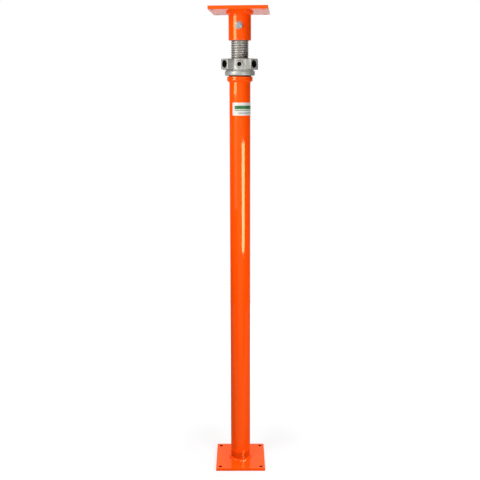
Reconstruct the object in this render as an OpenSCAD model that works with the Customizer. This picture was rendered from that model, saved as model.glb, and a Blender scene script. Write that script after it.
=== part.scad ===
// Adjustable steel prop. A tube stands on a welded base plate. A hollow screw with a
// bolted head plate slides in the tube, and a cast nut that rests on the tube's collar
// carries the screw: turning the nut raises and lowers the head.
// Millimetres, +Z up, origin on the ground under the middle of the base plate.

/* [Base plate] */
// Side of the square base plate
base_w = 152.4; // [120:0.1:220]
// Thickness of the base plate
base_t = 7.94; // [6:0.01:16]
// Radius of the base plate's corners
base_corner_r = 2.5; // [1:0.1:8]
// Diameter of the base plate's bolt holes
base_hole_d = 9.53; // [5:0.01:14]
// Distance from the plate's edge to the middle of a bolt hole
base_hole_edge = 12.7; // [9:0.1:20]
// Leg of the weld between tube and base plate
base_weld_leg = 7; // [3:0.1:12]

/* [Post tube] */
// Outside diameter of the post tube
post_od = 60.3; // [58:0.1:70]
// Wall of the post tube
post_wall = 3.05; // [2:0.05:4]
// Length of the post tube
post_l = 1184.7; // [700:0.1:2400]

/* [Bearing collar] */
// Wall of the collar at the top of the tube
collar_wall = 6.35; // [5:0.05:12]
// Height of the collar
collar_h = 12.4; // [8:0.1:25]
// Radius of the collar's upper outer shoulder
collar_shoulder_r = 4.6; // [0.5:0.1:5]
// Depth of the turned line round the middle of the collar
collar_line = 0.5; // [0.1:0.1:1]
// Leg of the weld under the collar
collar_weld_leg = 4.5; // [2:0.1:6]

/* [Thrust washer] */
// Width of the washer between collar and nut, from its hole to its rim
thrust_rim = 5.85; // [4:0.05:8]
// Thickness of that washer
thrust_t = 2; // [1:0.1:4]
// Radial room between that washer and the screw
thrust_room = 0.5; // [0.3:0.1:0.8]

/* [Label] */
// Height of the label on the tube
label_h = 36; // [15:0.5:80]
// Width of the label, measured round the tube
label_w = 89; // [40:0.5:150]
// Thickness of the label
label_t = 0.3; // [0.1:0.05:0.6]
// Distance from the top of the tube down to the label's upper edge
label_drop = 71.8; // [30:0.1:300]
// Angle of the label's left edge, seen from above, from +X
label_start = -133; // [-180:1:180]

/* [Screw] */
// Pitch of the thread
screw_pitch = 6.35; // [4:0.05:8]
// Depth of the thread
thread_depth = 2.4; // [1:0.1:2.8]
// Share of the pitch that the crest of the thread takes
thread_crest = 0.2; // [0.15:0.01:0.35]
// Share of the pitch that the floor of the thread takes
thread_floor = 0.36; // [0.25:0.01:0.45]
// Wall of the hollow screw, from the crests of the thread to its bore
screw_wall = 7.4; // [5:0.1:14]
// Length of the screw
screw_l = 406.4; // [380:0.1:600]

/* [Adjusting nut] */
// Height of the nut
nut_h = 46.5; // [42:0.1:60]
// How far the skirt at the foot of the nut stands out of the hub
skirt_out = 4.1; // [2:0.1:6]
// Height of the skirt
skirt_h = 15.5; // [8:0.1:17]
// Radius of the skirt's lower edge
skirt_edge_r = 3.2; // [1:0.1:4]
// Wall of the nut's hub
hub_wall = 13; // [10:0.1:16]
// How far a lug stands out of the hub
lug_out = 20.5; // [14:0.5:30]
// Width of a lug
lug_w = 28; // [26:0.1:32]
// Height of a lug
lug_h = 28.8; // [26:0.1:30]
// Radius of a lug's long edges
lug_edge_r = 4; // [1:0.1:6]
// Diameter of the sockets for the turning bar
bar_hole_d = 20.6; // [14:0.1:22]
// Depth of the sockets for the turning bar
bar_hole_depth = 28; // [15:0.5:30]
// Width of the chamfer round the mouth of those sockets
bar_hole_mouth = 1.2; // [0.4:0.1:3]
// Diameter of the small holes between the lugs, which reach the thread
core_hole_d = 12; // [8:0.1:14]
// Diameter of the raised pad round a small hole
core_pad_d = 20; // [17:0.1:24]
// How far that pad stands out of the hub
core_pad_out = 1.6; // [0.5:0.1:2]
// Turn of the nut about the screw
nut_turn = -2.3; // [-45:0.1:45]

/* [Head] */
// Side of the square head plate
head_w = 161.9; // [120:0.05:220]
// Thickness of the head plate
head_t = 9.53; // [6:0.01:16]
// Radius of the head plate's corners
head_corner_r = 2.5; // [1:0.1:8]
// Diameter of the head plate's bolt holes
head_hole_d = 9.53; // [5:0.01:14]
// Distance from the head plate's edge to the middle of a bolt hole
head_hole_edge = 12.7; // [9:0.1:20]
// Wall of the socket that takes the screw
socket_wall = 5.85; // [4:0.05:8]
// Length of the socket
socket_l = 76; // [60:0.1:120]
// Leg of the weld between socket and head plate
head_weld_leg = 9; // [3:0.1:12]
// Turn of the whole head about the screw
head_turn = -4.3; // [-45:0.1:45]
// Thread that shows between the nut and the socket, as the nut is set
thread_shown = 49.4; // [5:0.1:200]

/* [Cross bolt] */
// Diameter of the bolt through socket and screw
bolt_d = 9.5; // [6:0.1:12]
// Distance from the head plate's underside down to the bolt
bolt_drop = 37; // [25:0.1:45]
// Width across the flats of the bolt's head and nut
hex_af = 14.3; // [14:0.1:20]
// Height of the bolt's head
hex_head_h = 6; // [4:0.1:9]
// Height of the lock nut
lock_nut_h = 8.3; // [6:0.1:12]
// Length of thread that stands out of the lock nut
bolt_tail = 3; // [1:0.1:10]
// Outside diameter of the bolt's washers
bolt_washer_od = 20.6; // [20:0.1:26]
// Thickness of the bolt's washers
bolt_washer_t = 1.6; // [1:0.1:3]

/* [Stop pin] */
// Diameter of the pin that keeps the screw in the tube
pin_d = 8; // [5:0.1:10]
// Distance from the screw's lower end up to the pin
pin_up = 18.3; // [10:0.1:40]

/* [Clearances] */
// Radial room between the crests of the thread and the tube that the screw slides in
slide_room = 1.7; // [0.8:0.1:3]
// Radial room between the crests of the thread and the nut
nut_room = 0.08; // [0.02:0.01:0.1]
// Radial room between the screw and the head's socket
socket_room = 0.5; // [0.2:0.05:0.8]
// Radial room between a welded or bolted piece and what it sits on
seat_room = 0.05; // [0.02:0.01:0.1]
// Radial room between the cross bolt and its holes
bolt_room = 0.4; // [0.1:0.05:0.6]
// Room between each end of the stop pin and the tube
pin_room = 0.5; // [0.3:0.05:0.8]
// Height between the nut and the washer under it
running_gap = 0.3; // [0.2:0.05:0.5]

/* [Hidden] */

$fn = 96;
past = 1; // how far a cutting shape runs past what it cuts
arc_steps = 6; // straight steps in a quarter round of a turned outline

post_id = post_od - 2 * post_wall;
post_top = base_t + post_l;
collar_od = post_od + 2 * collar_wall;
collar_z = post_top - collar_h;
screw_od = post_id - 2 * slide_room;
screw_bore = screw_od - 2 * screw_wall;
thrust_z = post_top;
thrust_id = screw_od + 2 * thrust_room;
thrust_od = thrust_id + 2 * thrust_rim;
nut_z = thrust_z + thrust_t + running_gap;
nut_bore = screw_od + 2 * nut_room;
hub_od = nut_bore + 2 * hub_wall;
skirt_od = hub_od + 2 * skirt_out;
lug_span = hub_od + 2 * lug_out;
socket_id = screw_od + 2 * socket_room;
socket_od = socket_id + 2 * socket_wall;
socket_z = nut_z + nut_h + thread_shown;
head_z = socket_z + socket_l;
screw_z = head_z - screw_l;
screw_root_r = screw_od / 2 - thread_depth;
bolt_z = head_z - bolt_drop;
bolt_hole_d = bolt_d + 2 * bolt_room;
pin_z = screw_z + pin_up;
pin_l = post_id - 2 * pin_room;

lug_top_drop = 1; // the lugs stop this far under the nut's upper face
lug_z = nut_h - lug_top_drop - lug_h / 2;
hub_edge_r = 2.5; // round of the hub's upper edge
nut_mouth = 1.5; // chamfer at each end of the nut's bore
rib_w = 9; // width of the rib under each small hole
rib_foot_w = 26; // width of that rib where it meets the skirt
rib_out = 1; // how far that rib stands out of the hub

orange = [1, 0.36, 0.05];
cast_grey = [0.66, 0.66, 0.63];
screw_grey = [0.6, 0.6, 0.56];
zinc = [0.72, 0.76, 0.78];
dark_steel = [0.25, 0.24, 0.23];
cream = [0.93, 0.93, 0.88];

// Points of an arc about (cx, cy), from angle a0 to angle a1.
function arc(cx, cy, r, a0, a1) =
    [for (i = [0:arc_steps]) let (a = a0 + (a1 - a0) * i / arc_steps)
        [cx + r * cos(a), cy + r * sin(a)]];

// Square outline with rounded corners, centred on the origin.
module rounded_rect(w, h, r) {
    square([w - 2 * r, h], center = true);
    square([w, h - 2 * r], center = true);
    for (x = [-1, 1], y = [-1, 1])
        translate([x * (w / 2 - r), y * (h / 2 - r)]) circle(r);
}

// Square plate with rounded corners and a bolt hole near each corner.
module bolted_plate(w, t, corner_r, hole_d, hole_edge) {
    inset = w / 2 - hole_edge;
    difference() {
        linear_extrude(t) rounded_rect(w, w, corner_r);
        for (x = [-inset, inset], y = [-inset, inset])
            translate([x, y, -past]) cylinder(d = hole_d, h = t + 2 * past);
    }
}

// Straight tube standing on the plane.
module tube(od, id, h) {
    difference() {
        cylinder(d = od, h = h);
        translate([0, 0, -past]) cylinder(d = id, h = h + 2 * past);
    }
}

// Slightly full weld bead in the corner between the plane and a tube of radius r.
module ring_weld(r, leg) {
    inner = r + seat_room;
    full = 0.56; // how far the bead's middle stands out, as a share of its leg
    rotate_extrude()
        polygon([
            [inner, 0], [inner + leg, 0], [inner + leg * full, leg * full], [inner, leg]
        ]);
}

// Outline of the thread from the screw's lower end to its upper end, root to root.
function thread_outline(turns) =
    [for (i = [0:turns - 1], p = [0:3])
        let (
            flank = (1 - thread_crest - thread_floor) / 2,
            at = [thread_floor / 2, thread_floor / 2 + flank,
                  1 - thread_floor / 2 - flank, 1 - thread_floor / 2]
        )
        [p == 0 || p == 3 ? screw_root_r : screw_od / 2, (i + at[p]) * screw_pitch]];

// Hexagonal prism with its flats w apart, standing on the plane.
module hexagon(w, h) {
    cylinder(d = w / cos(30), h = h, $fn = 6);
}

// Moves its children to the cross bolt's axis, with +Z pointing out of the bolt's head.
module on_bolt_axis() {
    rotate([0, 0, head_turn]) translate([0, 0, bolt_z]) rotate([90, 0, 0]) children();
}

module base_plate() {
    color(orange)
        bolted_plate(base_w, base_t, base_corner_r, base_hole_d, base_hole_edge);
}

module base_weld() {
    color(orange) translate([0, 0, base_t]) ring_weld(post_od / 2, base_weld_leg);
}

module post_tube() {
    color(orange) translate([0, 0, base_t]) tube(post_od, post_id, post_l);
}

module bearing_collar() {
    inner = post_od / 2 + seat_room;
    outer = collar_od / 2;
    color(orange) translate([0, 0, collar_z]) rotate_extrude()
        polygon(concat(
            [[inner, 0], [outer, 0],
             [outer, collar_h / 2 - collar_line],
             [outer - collar_line, collar_h / 2],
             [outer, collar_h / 2 + collar_line]],
            arc(outer - collar_shoulder_r, collar_h - collar_shoulder_r,
                collar_shoulder_r, 0, 90),
            [[inner, collar_h]]
        ));
}

module collar_weld() {
    color(orange) translate([0, 0, collar_z]) mirror([0, 0, 1])
        ring_weld(post_od / 2, collar_weld_leg);
}

module label() {
    inner = post_od / 2 + seat_room;
    color(cream)
        translate([0, 0, post_top - label_drop - label_h])
            rotate([0, 0, label_start])
                rotate_extrude(angle = label_w / post_od * 2 * 180 / PI)
                    translate([inner, 0]) square([label_t, label_h]);
}

module thrust_washer() {
    color(dark_steel) translate([0, 0, thrust_z]) tube(thrust_od, thrust_id, thrust_t);
}

// Solid body of the nut before its holes: skirt and hub turned about the axis.
module nut_core() {
    skirt_r = skirt_od / 2;
    hub_r = hub_od / 2;
    rotate_extrude()
        polygon(concat(
            [[0, 0]],
            arc(skirt_r - skirt_edge_r, skirt_edge_r, skirt_edge_r, -90, 0),
            [[skirt_r, skirt_h - (skirt_r - hub_r)], [hub_r, skirt_h]],
            arc(hub_r - hub_edge_r, nut_h - hub_edge_r, hub_edge_r, 0, 90),
            [[0, nut_h]]
        ));
}

// One lug along +X, long enough to root well inside the hub.
module nut_lug() {
    root = nut_bore / 2 + nut_mouth;
    translate([root, 0, lug_z]) rotate([90, 0, 90])
        linear_extrude(lug_span / 2 - root) rounded_rect(lug_w, lug_h, lug_edge_r);
}

// Raised pad along +X with the rib that runs down from it to the skirt.
module nut_pad() {
    root = nut_bore / 2 + nut_mouth;
    translate([root, 0, lug_z]) rotate([0, 90, 0])
        cylinder(d = core_pad_d, h = hub_od / 2 + core_pad_out - root);
    translate([root, 0, 0]) rotate([90, 0, 90])
        linear_extrude(hub_od / 2 + rib_out - root)
            polygon([
                [-rib_foot_w / 2, skirt_h / 2], [rib_foot_w / 2, skirt_h / 2],
                [rib_w / 2, lug_z - core_pad_d / 2 + past],
                [-rib_w / 2, lug_z - core_pad_d / 2 + past]
            ]);
}

// Space of a turning bar's socket, from its mouth at the origin down along -Z.
module bar_socket() {
    translate([0, 0, -bar_hole_depth]) cylinder(d = bar_hole_d, h = bar_hole_depth);
    translate([0, 0, -bar_hole_mouth])
        cylinder(d1 = bar_hole_d, d2 = bar_hole_d + 2 * bar_hole_mouth + 2 * past,
                 h = bar_hole_mouth + past);
}

module adjusting_nut() {
    color(cast_grey) translate([0, 0, nut_z]) rotate([0, 0, nut_turn])
        difference() {
            union() {
                nut_core();
                for (a = [45:90:315]) rotate([0, 0, a]) nut_lug();
                for (a = [0:90:270]) rotate([0, 0, a]) nut_pad();
            }
            translate([0, 0, -past]) cylinder(d = nut_bore, h = nut_h + 2 * past);
            translate([0, 0, nut_h - nut_mouth])
                cylinder(d1 = nut_bore, d2 = nut_bore + 2 * nut_mouth + 2 * past,
                         h = nut_mouth + past);
            for (a = [45:90:315]) rotate([0, 0, a])
                translate([lug_span / 2, 0, lug_z]) rotate([0, 90, 0]) bar_socket();
            for (a = [0:90:270]) rotate([0, 0, a])
                translate([0, 0, lug_z]) rotate([0, 90, 0])
                    cylinder(d = core_hole_d, h = hub_od / 2 + core_pad_out + past);
        }
}

module screw() {
    turns = floor(screw_l / screw_pitch);
    color(screw_grey)
        difference() {
            translate([0, 0, screw_z]) rotate_extrude()
                polygon(concat(
                    [[screw_bore / 2, 0], [screw_root_r, 0]],
                    thread_outline(turns),
                    [[screw_root_r, screw_l], [screw_bore / 2, screw_l]]
                ));
            on_bolt_axis() translate([0, 0, -screw_od])
                cylinder(d = bolt_hole_d, h = 2 * screw_od);
            on_pin_axis() translate([0, 0, -screw_od])
                cylinder(d = pin_d + 2 * seat_room, h = 2 * screw_od);
        }
}

// Moves its children to the stop pin's axis, square to the cross bolt.
module on_pin_axis() {
    rotate([0, 0, head_turn]) translate([0, 0, pin_z]) rotate([0, 90, 0]) children();
}

module stop_pin() {
    color(zinc) on_pin_axis() translate([0, 0, -pin_l / 2]) cylinder(d = pin_d, h = pin_l);
}

module head_socket() {
    color(orange)
        difference() {
            translate([0, 0, socket_z]) tube(socket_od, socket_id, socket_l);
            on_bolt_axis() translate([0, 0, -socket_od])
                cylinder(d = bolt_hole_d, h = 2 * socket_od);
        }
}

module head_weld() {
    color(orange) translate([0, 0, head_z]) mirror([0, 0, 1])
        ring_weld(socket_od / 2, head_weld_leg);
}

module head_plate() {
    color(orange) translate([0, 0, head_z]) rotate([0, 0, head_turn])
        bolted_plate(head_w, head_t, head_corner_r, head_hole_d, head_hole_edge);
}

module cross_bolt() {
    shank_l = socket_od + 2 * bolt_washer_t + lock_nut_h + bolt_tail;
    color(zinc) on_bolt_axis() translate([0, 0, socket_od / 2 + bolt_washer_t]) {
        hexagon(hex_af, hex_head_h);
        translate([0, 0, -shank_l]) cylinder(d = bolt_d, h = shank_l);
    }
}

module bolt_washers() {
    color(zinc) on_bolt_axis()
        for (z = [socket_od / 2, -socket_od / 2 - bolt_washer_t]) translate([0, 0, z])
            tube(bolt_washer_od, bolt_hole_d, bolt_washer_t);
}

module lock_nut() {
    color(zinc) on_bolt_axis()
        translate([0, 0, -socket_od / 2 - bolt_washer_t - lock_nut_h]) difference() {
            hexagon(hex_af, lock_nut_h);
            translate([0, 0, -past])
                cylinder(d = bolt_d + 2 * seat_room, h = lock_nut_h + 2 * past);
        }
}

base_plate();
base_weld();
post_tube();
bearing_collar();
collar_weld();
label();
thrust_washer();
adjusting_nut();
screw();
stop_pin();
head_socket();
head_weld();
head_plate();
cross_bolt();
bolt_washers();
lock_nut();
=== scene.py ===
# %% [markdown]
# An adjustable steel prop: a tube on a base plate, a cast nut that rests on the tube's
# collar, and a screw that carries the head plate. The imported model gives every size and
# place, and this script only gives each piece its finished form and surface. Everything
# is in metres, standing on the ground plane at zero.

import math

import bmesh
import bpy
from mathutils import Matrix, Vector, noise


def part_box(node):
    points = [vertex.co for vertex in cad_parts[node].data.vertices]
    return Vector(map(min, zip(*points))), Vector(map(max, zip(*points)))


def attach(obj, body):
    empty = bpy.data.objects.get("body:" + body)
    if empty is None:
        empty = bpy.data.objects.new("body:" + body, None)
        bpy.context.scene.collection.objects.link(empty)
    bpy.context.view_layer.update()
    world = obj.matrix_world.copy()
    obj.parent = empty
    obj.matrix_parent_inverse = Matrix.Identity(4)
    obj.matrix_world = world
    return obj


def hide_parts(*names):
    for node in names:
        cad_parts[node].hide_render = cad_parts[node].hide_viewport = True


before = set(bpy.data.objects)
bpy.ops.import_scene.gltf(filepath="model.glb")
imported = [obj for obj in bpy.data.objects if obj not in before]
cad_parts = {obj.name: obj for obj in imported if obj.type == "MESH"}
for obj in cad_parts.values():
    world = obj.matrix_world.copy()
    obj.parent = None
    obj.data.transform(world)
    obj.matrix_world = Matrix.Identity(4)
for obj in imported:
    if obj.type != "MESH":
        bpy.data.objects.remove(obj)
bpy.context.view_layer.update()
MM = 0.001

# %% [markdown]
# The camera stands two metres in front of the prop, a little above the middle, and looks
# slightly down. That way the base plate is seen from above and the head plate from below.
# A longish lens keeps the tube's sides nearly parallel.

# %% Camera
LENS = 51.32
SENSOR = 36
CAMERA_PLACE = (0.0003, -1.9938, 1.1641)
CAMERA_TILT = math.radians(77.386)
CAMERA_ROLL = math.radians(0.11)


def linked(name, data):
    """A new object in the scene that shows this camera, lamp, mesh or curve."""
    item = bpy.data.objects.new(name, data)
    bpy.context.collection.objects.link(item)
    return item


camera_data = bpy.data.cameras.new("camera")
camera_data.lens = LENS
camera_data.sensor_width = SENSOR
camera = linked("camera", camera_data)
camera.location = CAMERA_PLACE
camera.rotation_euler = (CAMERA_TILT, CAMERA_ROLL, 0)
bpy.context.scene.camera = camera
bpy.context.scene.view_settings.view_transform = "Standard"
print("camera height:", round(camera.location.z, 3))

# %% [markdown]
# Glossy enamel shows the lamps as clear bright shapes, so each lamp is a plain soft panel
# with a size and a place. The high panel on the left draws the long streak on the head,
# the collar and the top of the tube, and a faint panel under it lets that streak die away
# slowly. The low panel on the right draws the streak on the middle of the tube. Two fills
# and a wide overhead panel only add soft light, so gloss doesn't show them.

# %% Lamps
def softbox(name, azimuth, distance, width, low, high, radiance):
    """A panel that faces the post's axis; azimuth counts from the front towards +X."""
    height = high - low
    data = bpy.data.lights.new(name, "AREA")
    data.shape = "RECTANGLE"
    data.size = width
    data.size_y = height
    data.energy = radiance * math.pi * width * height
    lamp = linked(name, data)
    turn = math.radians(azimuth)
    lamp.location = (distance * math.sin(turn), -distance * math.cos(turn), (low + high) / 2)
    lamp.rotation_euler = (math.radians(90), 0, turn)
    print(name, [round(v, 2) for v in lamp.location], round(data.energy, 1), "W")
    return lamp


def overhead(name, back, z, side, radiance):
    """A square panel that looks straight down, from a little behind the prop."""
    data = bpy.data.lights.new(name, "AREA")
    data.size = side
    data.energy = radiance * math.pi * side * side
    lamp = linked(name, data)
    lamp.location = (0, back, z)
    print(name, round(data.energy, 1), "W")
    return lamp


def fill(lamp):
    """Keeps a lamp's light and takes its shape out of the gloss."""
    lamp.visible_glossy = False
    return lamp


softbox("high left panel", azimuth=-50, distance=1.25, width=0.66,
        low=1.13, high=2.0, radiance=6.2)
softbox("faint left panel", azimuth=-48, distance=1.25, width=0.7,
        low=0.6, high=1.13, radiance=0.8)
softbox("low right panel", azimuth=35, distance=1.25, width=0.7,
        low=0.389, high=0.912, radiance=9.7)
fill(softbox("left fill", azimuth=-36, distance=1.0, width=0.5,
             low=0.9, high=1.6, radiance=5.6))
fill(softbox("right fill", azimuth=45, distance=1.25, width=0.6,
             low=0.2, high=0.7, radiance=2.1))
fill(overhead("overhead panel", back=0.65, z=5.0, side=4.1, radiance=5.6))

# %% [markdown]
# Every shader below is wired from the same few nodes: a Map Range that turns one span of
# numbers into another, a Math node, and a Mix of two numbers. These helpers make each of
# them in one line and take a socket or a plain number for any input.

# %% Node helpers
def feed(tree, socket, value):
    if isinstance(value, (int, float)):
        socket.default_value = value
    else:
        tree.links.new(value, socket)


def ramp(tree, value, low, high, first=0.0, second=1.0, smooth=False):
    """Goes from first to second as value goes from low to high."""
    node = tree.nodes.new("ShaderNodeMapRange")
    if smooth:
        node.interpolation_type = "SMOOTHSTEP"
    for label, number in (("Value", value), ("From Min", low), ("From Max", high),
                          ("To Min", first), ("To Max", second)):
        feed(tree, node.inputs[label], number)
    return node.outputs["Result"]


def maths(tree, operation, *values, clamp=False):
    node = tree.nodes.new("ShaderNodeMath")
    node.operation = operation
    node.use_clamp = clamp
    for socket, value in zip(node.inputs, values):
        feed(tree, socket, value)
    return node.outputs[0]


def either(tree, mask, first, second):
    """The number first where the mask is 0 and second where it is 1."""
    node = tree.nodes.new("ShaderNodeMix")
    for label, value in (("Factor", mask), ("A", first), ("B", second)):
        feed(tree, node.inputs[label], value)
    return node.outputs["Result"]


def coordinates(tree, output):
    return tree.nodes.new("ShaderNodeTexCoord").outputs[output]


def axes_of(tree, vector):
    split = tree.nodes.new("ShaderNodeSeparateXYZ")
    tree.links.new(vector, split.inputs[0])
    return split.outputs["X"], split.outputs["Y"], split.outputs["Z"]


print("node helpers:", [f.__name__ for f in (ramp, maths, either, coordinates, axes_of)])

# %% [markdown]
# The world is a white studio. The camera sees it as pure white. Gloss sees more of what a
# studio holds: a white backdrop behind the prop that darkens towards the top, a dim room
# at its sides, and a grey card beside the camera. Very little light comes from the world
# itself, so that the lamps shape the prop.

# %% World
SKY = 0.08
GROUND = 0.03
HORIZON = 0.1
ROOM_IN_GLOSS = 0.02
BACKDROP_IN_GLOSS = 0.62
BACKDROP_EDGE = 0.75
BACKDROP_BLUR = 0.1
BACKDROP_TOP = 0.4
CARD_IN_GLOSS = 0.3
CARD_EDGE = -0.7


def background():
    world = bpy.data.worlds.new("studio")
    world.use_nodes = True
    tree = world.node_tree
    tree.nodes.clear()
    output = tree.nodes.new("ShaderNodeOutputWorld")
    path = tree.nodes.new("ShaderNodeLightPath")
    _, back, up = axes_of(tree, coordinates(tree, "Generated"))
    backdrop = ramp(tree, back, BACKDROP_EDGE - BACKDROP_BLUR, BACKDROP_EDGE + BACKDROP_BLUR,
                    ROOM_IN_GLOSS, BACKDROP_IN_GLOSS, smooth=True)
    backdrop = maths(tree, "MULTIPLY", backdrop, ramp(tree, up, BACKDROP_TOP, 1.0, 1.0, 0.0))
    card = ramp(tree, back, CARD_EDGE, -1.0, 0.0, CARD_IN_GLOSS, smooth=True)
    mirrored = maths(tree, "ADD", backdrop, card)
    gloss = maths(tree, "MAXIMUM", path.outputs["Is Glossy Ray"],
                  path.outputs["Is Transmission Ray"])
    dome = ramp(tree, up, -HORIZON, HORIZON, GROUND, SKY)
    seen = either(tree, path.outputs["Is Camera Ray"], either(tree, gloss, dome, mirrored), 1.0)
    light = tree.nodes.new("ShaderNodeBackground")
    light.inputs["Color"].default_value = (1, 1, 1, 1)
    tree.links.new(seen, light.inputs["Strength"])
    tree.links.new(light.outputs[0], output.inputs["Surface"])
    return world


bpy.context.scene.world = background()
print("world:", bpy.context.scene.world.name)

# %% [markdown]
# The floor is a pale sheet that ends a little in front of the prop. It adds some light of
# its own to what falls on it, less near the prop, so that it is white where it is open and
# keeps a faint shadow round the base plate. The same sheet sends soft light up to the
# underside of the head, more from behind than from the front, as a lit sweep does.

# %% Floor
FLOOR_FRONT = -0.6
FLOOR_BACK = 1.6
FLOOR_SIDE = 1.6
FLOOR_PAINT = 0.32
NEAR_LIFT = 0.53
FAR_LIFT = 0.85
NEAR = 0.2
FAR = 0.9
FRONT_BOUNCE = 0.05
BACK_BOUNCE = 1.0
BOUNCE_BLUR = 0.1
FLOOR_IN_GLOSS = 0.12
GLOSS_BLUR = 0.06
FRONT_IN_GLOSS = 0.22
FRONT_GLOSS_FROM = -0.09
FRONT_GLOSS_FULL = -0.13


def floor_material():
    material = bpy.data.materials.new("studio floor")
    material.use_nodes = True
    material.cycles.emission_sampling = "NONE"
    tree = material.node_tree
    tree.nodes.clear()
    output = tree.nodes.new("ShaderNodeOutputMaterial")
    path = tree.nodes.new("ShaderNodeLightPath")
    place = coordinates(tree, "Object")
    _, depth, _ = axes_of(tree, place)
    away = tree.nodes.new("ShaderNodeVectorMath")
    away.operation = "LENGTH"
    tree.links.new(place, away.inputs[0])
    lift = maths(tree, "MULTIPLY", path.outputs["Is Camera Ray"],
                 ramp(tree, away.outputs["Value"], NEAR, FAR, NEAR_LIFT, FAR_LIFT))
    bounce = maths(tree, "MULTIPLY_ADD", path.outputs["Is Diffuse Ray"],
                   ramp(tree, depth, -BOUNCE_BLUR, BOUNCE_BLUR, FRONT_BOUNCE, BACK_BOUNCE),
                   lift)
    sheet = ramp(tree, depth, -GLOSS_BLUR, GLOSS_BLUR, ROOM_IN_GLOSS, FLOOR_IN_GLOSS)
    front = ramp(tree, depth, FRONT_GLOSS_FROM, FRONT_GLOSS_FULL, 0.0, FRONT_IN_GLOSS)
    shine = maths(tree, "ADD", sheet, front)
    paint = tree.nodes.new("ShaderNodeBsdfDiffuse")
    paint.inputs["Color"].default_value = (FLOOR_PAINT, FLOOR_PAINT, FLOOR_PAINT, 1)
    glow = tree.nodes.new("ShaderNodeEmission")
    tree.links.new(bounce, glow.inputs["Strength"])
    lit = tree.nodes.new("ShaderNodeAddShader")
    tree.links.new(paint.outputs[0], lit.inputs[0])
    tree.links.new(glow.outputs[0], lit.inputs[1])
    reflected = tree.nodes.new("ShaderNodeEmission")
    tree.links.new(shine, reflected.inputs["Strength"])
    chosen = tree.nodes.new("ShaderNodeMixShader")
    tree.links.new(path.outputs["Is Glossy Ray"], chosen.inputs[0])
    tree.links.new(lit.outputs[0], chosen.inputs[1])
    tree.links.new(reflected.outputs[0], chosen.inputs[2])
    tree.links.new(chosen.outputs[0], output.inputs["Surface"])
    return material


floor_mesh = bpy.data.meshes.new("floor")
floor_mesh.from_pydata([(-FLOOR_SIDE, FLOOR_FRONT, 0), (FLOOR_SIDE, FLOOR_FRONT, 0),
                        (FLOOR_SIDE, FLOOR_BACK, 0), (-FLOOR_SIDE, FLOOR_BACK, 0)],
                       [], [(0, 1, 2, 3)])
floor_mesh.materials.append(floor_material())
floor = linked("floor", floor_mesh)
print("floor from y =", FLOOR_FRONT, "to", FLOOR_BACK)

# %% [markdown]
# No finish is the same all over. Four small effects are shared by the prop's materials,
# and each is a node group with named sockets, built once and placed in each material with
# that material's own values. The first is a noise mask, used for grain, for pits and for
# slow changes of colour.

# %% Grain
def effect_group(name, inputs, outputs):
    """An empty group with number sockets; inputs maps each name to its usual value."""
    tree = bpy.data.node_groups.new(name, "ShaderNodeTree")
    for label, value in inputs.items():
        socket = tree.interface.new_socket(name=label, in_out="INPUT",
                                           socket_type="NodeSocketFloat")
        socket.default_value = value
    for label in outputs:
        tree.interface.new_socket(name=label, in_out="OUTPUT", socket_type="NodeSocketFloat")
    source = tree.nodes.new("NodeGroupInput")
    target = tree.nodes.new("NodeGroupOutput")
    return tree, source.outputs, target.inputs


def noise_cloud(tree, scale, detail=2.0):
    cloud = tree.nodes.new("ShaderNodeTexNoise")
    tree.links.new(coordinates(tree, "Object"), cloud.inputs["Vector"])
    feed(tree, cloud.inputs["Scale"], scale)
    feed(tree, cloud.inputs["Detail"], detail)
    return cloud.outputs["Fac"]


def make_grain():
    tree, given, wanted = effect_group(
        "Grain", {"Scale": 100.0, "Detail": 3.0, "Low": 0.3, "High": 0.7}, ["Mask"])
    cloud = noise_cloud(tree, given["Scale"], given["Detail"])
    tree.links.new(ramp(tree, cloud, given["Low"], given["High"]), wanted["Mask"])
    return tree


GRAIN = make_grain()
print("effect:", GRAIN.name)

# %% [markdown]
# Paint is thin and metal is rubbed bright along edges, and corners and creases get painted
# shade. The geometry's pointiness tells edges from corners, and a noise breaks the wear into
# patches so that it doesn't look like an outline.

# %% Edge wear and painted shade
def make_edge_wear_and_shade():
    tree, given, wanted = effect_group(
        "Edge Wear and Shade", {"Start": 0.52, "Full": 0.6, "Patch Scale": 60.0}, ["Edges", "Hollows"])
    pointiness = tree.nodes.new("ShaderNodeNewGeometry").outputs["Pointiness"]
    edge = ramp(tree, pointiness, given["Start"], given["Full"])
    patches = ramp(tree, noise_cloud(tree, given["Patch Scale"]), 0.4, 0.6)
    tree.links.new(maths(tree, "MULTIPLY", edge, patches), wanted["Edges"])
    # The Hollows output is painted shade for corners and creases.
    tree.links.new(ramp(tree, pointiness, 0.49, 0.42), wanted["Hollows"])
    return tree


EDGE_WEAR_AND_SHADE = make_edge_wear_and_shade()
print("effect:", EDGE_WEAR_AND_SHADE.name)

# %% [markdown]
# Dust settles in patches on whatever faces up, so its mask is the upward part of the
# normal, broken by a noise.

# %% Dust
def make_dust():
    tree, given, wanted = effect_group("Dust", {"Patch Scale": 40.0}, ["Mask"])
    normal = tree.nodes.new("ShaderNodeNewGeometry").outputs["Normal"]
    upward = ramp(tree, axes_of(tree, normal)[2], 0.3, 1.0)
    patches = ramp(tree, noise_cloud(tree, given["Patch Scale"], 8.0), 0.35, 0.75)
    tree.links.new(maths(tree, "MULTIPLY", upward, patches), wanted["Mask"])
    return tree


DUST = make_dust()
print("effect:", DUST.name)

# %% [markdown]
# Painted shade darkens the places that light hardly reaches: the walls of the holes, and
# the foot of the tube next to the base plate. Only the mesh code knows those places, so it
# stores a number at each vertex, and this effect reads that number. Where a mesh stores
# none, the number is 0 and the piece keeps its own colour.

# %% Painted shade
def make_painted_shade():
    tree, given, wanted = effect_group("Painted Shade", {"Amount": 1.0}, ["Mask"])
    stored = tree.nodes.new("ShaderNodeAttribute")
    stored.attribute_name = "painted_shade"
    mask = maths(tree, "MULTIPLY", stored.outputs["Fac"], given["Amount"], clamp=True)
    tree.links.new(mask, wanted["Mask"])
    return tree


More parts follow.
